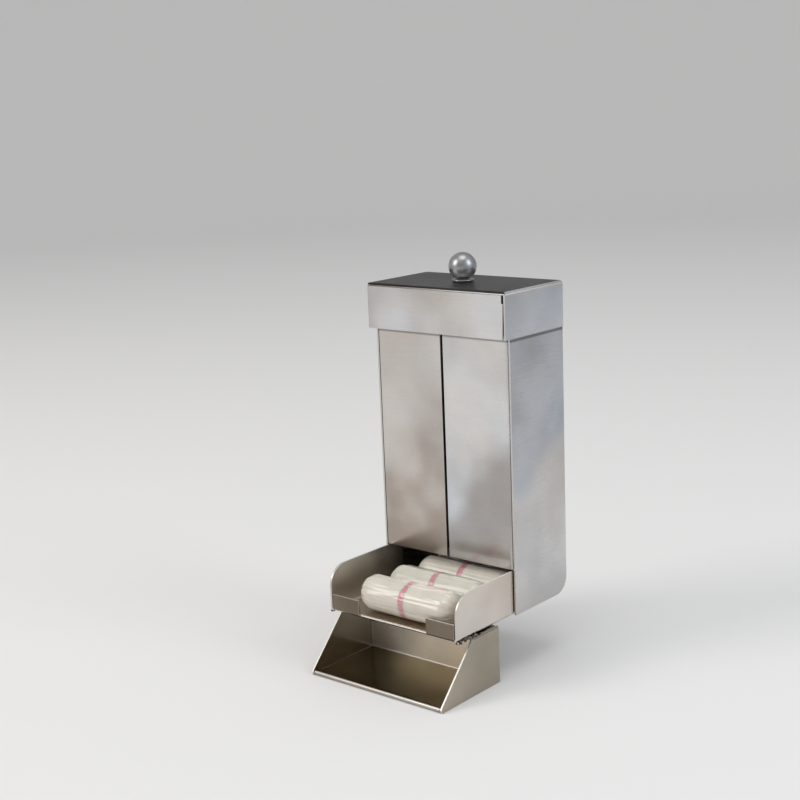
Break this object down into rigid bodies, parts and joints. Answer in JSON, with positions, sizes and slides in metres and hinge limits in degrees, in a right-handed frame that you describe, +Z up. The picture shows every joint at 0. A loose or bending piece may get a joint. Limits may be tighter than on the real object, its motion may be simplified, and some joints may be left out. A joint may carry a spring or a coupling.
{
  "type": "tampon dispenser",
  "caption": "Wall-hung tampon dispenser folded from brushed steel sheet: storage column with a level slit, open notched tray, lower scoop and a lift-off lid with a ball knob.",
  "frame": {"origin": "on the wall face of the back, midway between the seats of the two hanging keyholes", "axes": "+Z up the column, +Y into the wall, +X to the viewer's right when looking at the front"},
  "size_m": [0.0676, 0.0825, 0.1613],
  "materials": {
    "brushed_sheet": "satin brushed stainless sheet, fine grain running across each face",
    "scoop_sheet": "satin brushed stainless sheet, smoother and more mirror-like",
    "lid_sheet": "satin brushed stainless sheet, grain running across",
    "knob_metal": "fine satin, darker than the sheet",
    "plated_fastener": "bright plated",
    "wrapper_film": "cream-white glossy film over cotton",
    "tear_strip_film": "pink-red translucent film"
  },
  "bodies": {
    "housing": {"back_and_tray_sheet": "brushed_sheet", "left_side_plate": "brushed_sheet", "right_side_plate": "brushed_sheet", "front_left_panel": "brushed_sheet", "front_right_panel": "brushed_sheet", "scoop_sheet": "scoop_sheet", "scoop_left_cheek": "scoop_sheet", "scoop_right_cheek": "scoop_sheet"},
    "lid": {"lid_cover": "lid_sheet", "knob_collar": "knob_metal", "lid_knob": "knob_metal", "knob_washer": "plated_fastener", "knob_screw": "plated_fastener"},
    "tampon_1": {"front_tampon": "wrapper_film", "front_tear_strip": "tear_strip_film"},
    "tampon_2": {"middle_tampon": "wrapper_film", "middle_tear_strip": "tear_strip_film"},
    "tampon_3": {"rear_tampon": "wrapper_film", "rear_tear_strip": "tear_strip_film"},
    "tampon_4": {"waiting_tampon": "wrapper_film", "waiting_tear_strip": "tear_strip_film"}
  },
  "joints": [
    {"name": "lid_lift", "type": "slide", "parent": "housing", "child": "lid", "axis": [0, 0, 1], "range_m": [0, 0.035]},
    {"name": "front_tampon_take", "type": "slide", "parent": "housing", "child": "tampon_1", "axis": [0, 0, 1], "range_m": [0, 0.09]},
    {"name": "middle_tampon_feed", "type": "slide", "parent": "housing", "child": "tampon_2", "axis": [0, -1, 0], "range_m": [0, 0.0153]},
    {"name": "rear_tampon_feed", "type": "slide", "parent": "housing", "child": "tampon_3", "axis": [0, -1, 0], "range_m": [0, 0.0153]},
    {"name": "waiting_tampon_feed", "type": "slide", "parent": "housing", "child": "tampon_4", "axis": [0, -1, 0], "range_m": [0, 0.0153]}
  ],
  "couplings": [
    {"joint": "middle_tampon_feed", "follows": "front_tampon_take", "ratio": 0.1699},
    {"joint": "rear_tampon_feed", "follows": "front_tampon_take", "ratio": 0.1699},
    {"joint": "waiting_tampon_feed", "follows": "front_tampon_take", "ratio": 0.1699}
  ]
}
